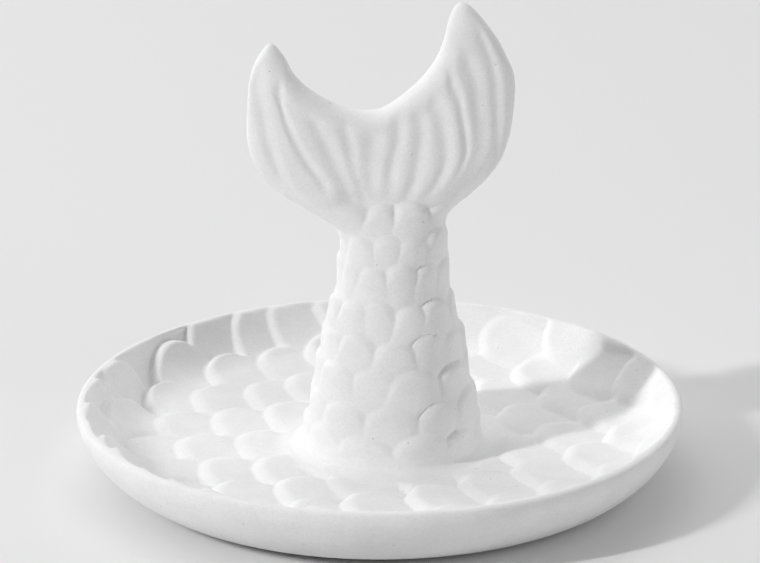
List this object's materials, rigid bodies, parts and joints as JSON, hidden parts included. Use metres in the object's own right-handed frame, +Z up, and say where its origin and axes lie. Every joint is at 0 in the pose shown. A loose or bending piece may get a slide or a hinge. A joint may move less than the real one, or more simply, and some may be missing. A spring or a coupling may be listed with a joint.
{
  "type": "ring dish",
  "caption": "Round white bisque ring dish with a scaled well and a standing mermaid tail whose two horns hold rings.",
  "frame": {"origin": "on the table under the middle of the dish", "axes": "+X to the right across the fluke, +Y to the back, +Z up"},
  "size_m": [0.114, 0.114, 0.0898],
  "materials": {
    "bisque": "matte unglazed white bisque",
    "slip": "matte fired slip, wiped smooth"
  },
  "bodies": {
    "root": {"dish": "bisque", "tail": "bisque", "slip_joint": "slip"}
  },
  "joints": []
}
